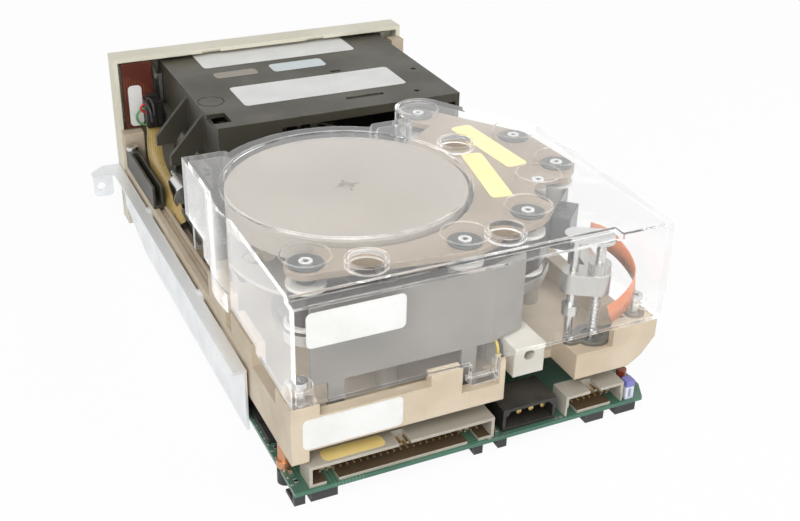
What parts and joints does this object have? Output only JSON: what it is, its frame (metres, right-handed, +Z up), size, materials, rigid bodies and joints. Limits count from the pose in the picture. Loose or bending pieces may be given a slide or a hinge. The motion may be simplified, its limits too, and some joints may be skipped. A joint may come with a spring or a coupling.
{
  "type": "digital linear tape drive",
  "caption": "Full-height tape drive for cartridges, with a lifting door, take-up reel, guide rollers and moving head under a clear cover, on a cast base with a main board.",
  "frame": {"origin": "on the table below the middle of the whole drive's bounding box", "axes": "+Y from the front bezel to the rear connectors, +Z up, +X towards the side with the bracket"},
  "size_m": [0.1614, 0.2438, 0.0843],
  "materials": {
    "tray_black": "satin black",
    "board_green": "solder mask",
    "copper": "dull",
    "chip_black": "matte",
    "capacitor_brown": "glossy",
    "header_grey": "matte",
    "socket_black": "matte",
    "pin_gold": "polished",
    "jumper_white": "matte",
    "cast_tan": "baked tan paint on cast metal",
    "zinc_steel": "zinc plated",
    "bright_steel": "machined",
    "bezel_cream": "fine grain",
    "handle_grey": "fine grain",
    "key_grey": "fine grain",
    "lamp_window": "tinted",
    "panel_brown": "satin",
    "wire_green": "satin",
    "film_tan": "translucent film",
    "shell_black": "fine texture",
    "reel_grey": "satin",
    "tape_brown": "satin",
    "plate_tan": "baked tan paint",
    "alloy": "machined",
    "roller_white": "satin",
    "cap_dark": "dark plated",
    "shroud_grey": "satin",
    "head_dark": "satin",
    "flex_orange": "translucent film",
    "clear_cover": "clear moulding",
    "sticker_white": "satin",
    "sticker_yellow": "satin"
  },
  "bodies": {
    "chassis": {"bottom_tray": "tray_black", "main_board": "board_green", "board_standoffs": "copper", "board_chips": "chip_black", "board_capacitor": "capacitor_brown", "long_header": "header_grey", "power_socket": "socket_black", "short_header": "header_grey", "connector_pins": "pin_gold", "jumper_block": "jumper_white", "base_casting": "cast_tan", "side_bracket": "zinc_steel", "machine_screws": "bright_steel", "front_bezel": "bezel_cream", "hinge_pin": "bright_steel", "indicator_window": "lamp_window", "panel_board": "panel_brown", "panel_plug": "socket_black", "lead_wires": "wire_green", "film_flex": "film_tan", "cable_channel": "socket_black", "receiver_shell": "shell_black", "supply_motor": "alloy", "takeup_motor": "alloy", "leader_tape": "tape_brown", "upper_guide_plate": "plate_tan", "lower_guide_plate": "alloy", "guide_posts": "alloy", "roller_shafts": "cap_dark", "star_screws": "bright_steel", "rear_shroud": "shroud_grey", "stepper_motor": "zinc_steel", "guide_rod": "bright_steel", "head_flex": "flex_orange", "lock_solenoid": "zinc_steel", "latch_bracket": "zinc_steel", "rear_block": "alloy", "dust_cover": "clear_cover", "white_stickers": "sticker_white", "yellow_stickers": "sticker_yellow"},
    "handle": {"release_handle": "handle_grey"},
    "lift_bars": {"lift_bars": "zinc_steel"},
    "carriage": {"cartridge_carriage": "zinc_steel"},
    "unload_key": {"unload_button": "key_grey"},
    "density_key": {"density_button": "key_grey"},
    "drive_hub": {"supply_hub": "alloy"},
    "reel": {"takeup_rotor": "alloy", "take_up_reel": "reel_grey"},
    "head_slide": {"tape_head": "head_dark", "head_carriage": "alloy"},
    "head_screw": {"lead_screw": "bright_steel"},
    "plunger": {"solenoid_plunger": "bright_steel"},
    "buckle": {"buckle_arm": "alloy"},
    "roller_1": {"guide_roller_1": "roller_white"},
    "roller_2": {"guide_roller_2": "roller_white"},
    "roller_3": {"guide_roller_3": "roller_white"},
    "roller_4": {"guide_roller_4": "roller_white"},
    "roller_5": {"guide_roller_5": "roller_white"},
    "roller_6": {"guide_roller_6": "roller_white"}
  },
  "joints": [
    {"name": "handle_hinge", "type": "hinge", "parent": "chassis", "child": "handle", "pos_m": [-0.01319, -0.1187, 0.0781], "axis": [-1, 0, 0], "range_deg": [0, 58]},
    {"name": "lift_bar_slide", "type": "slide", "parent": "chassis", "child": "lift_bars", "axis": [0, -1, 0], "range_m": [0, 0.0073]},
    {"name": "carriage_lift", "type": "slide", "parent": "chassis", "child": "carriage", "axis": [0, 0, 1], "range_m": [0, 0.0026]},
    {"name": "unload_press", "type": "slide", "parent": "chassis", "child": "unload_key", "axis": [0, 1, 0], "range_m": [0, 0.001], "stiffness_N_per_m": 400},
    {"name": "density_press", "type": "slide", "parent": "chassis", "child": "density_key", "axis": [0, 1, 0], "range_m": [0, 0.001], "stiffness_N_per_m": 400},
    {"name": "drive_hub_spin", "type": "hinge", "parent": "chassis", "child": "drive_hub", "pos_m": [-0.01319, -0.06313, 0.045], "axis": [0, 0, 1], "continuous": true},
    {"name": "reel_spin", "type": "hinge", "parent": "chassis", "child": "reel", "pos_m": [0.01381, 0.0459, 0.063], "axis": [0, 0, 1], "continuous": true},
    {"name": "roller_1_spin", "type": "hinge", "parent": "chassis", "child": "roller_1", "pos_m": [0.04893, 0.09425, 0.063], "axis": [0, 0, 1], "continuous": true},
    {"name": "roller_2_spin", "type": "hinge", "parent": "chassis", "child": "roller_2", "pos_m": [-0.00689, 0.10099, 0.063], "axis": [0, 0, 1], "continuous": true},
    {"name": "roller_3_spin", "type": "hinge", "parent": "chassis", "child": "roller_3", "pos_m": [-0.03849, 0.09, 0.063], "axis": [0, 0, 1], "continuous": true},
    {"name": "roller_4_spin", "type": "hinge", "parent": "chassis", "child": "roller_4", "pos_m": [-0.0706, 0.0575, 0.063], "axis": [0, 0, 1], "continuous": true},
    {"name": "roller_5_spin", "type": "hinge", "parent": "chassis", "child": "roller_5", "pos_m": [-0.06868, 0.02724, 0.063], "axis": [0, 0, 1], "continuous": true},
    {"name": "roller_6_spin", "type": "hinge", "parent": "chassis", "child": "roller_6", "pos_m": [-0.04279, -0.00956, 0.063], "axis": [0, 0, 1], "continuous": true},
    {"name": "head_lift", "type": "slide", "parent": "chassis", "child": "head_slide", "axis": [0, 0, 1], "range_m": [-0.004, 0.004]},
    {"name": "head_screw_turn", "type": "hinge", "parent": "chassis", "child": "head_screw", "pos_m": [-0.05764, 0.11035, 0.05], "axis": [0, 0, 1], "range_deg": [-450, 450]},
    {"name": "plunger_slide", "type": "slide", "parent": "chassis", "child": "plunger", "axis": [0, -1, 0], "range_m": [0, 0.004], "stiffness_N_per_m": 150},
    {"name": "buckle_swing", "type": "hinge", "parent": "chassis", "child": "buckle", "pos_m": [-0.06369, -0.0131, 0.0615], "axis": [0, 0, 1], "range_deg": [-20, 12]}
  ],
  "couplings": [
    {"joint": "lift_bar_slide", "follows": "handle_hinge", "m_per_rad": 0.0072113},
    {"joint": "carriage_lift", "follows": "handle_hinge", "m_per_rad": 0.0025684},
    {"joint": "head_screw_turn", "follows": "head_lift", "rad_per_m": 1570.8}
  ]
}
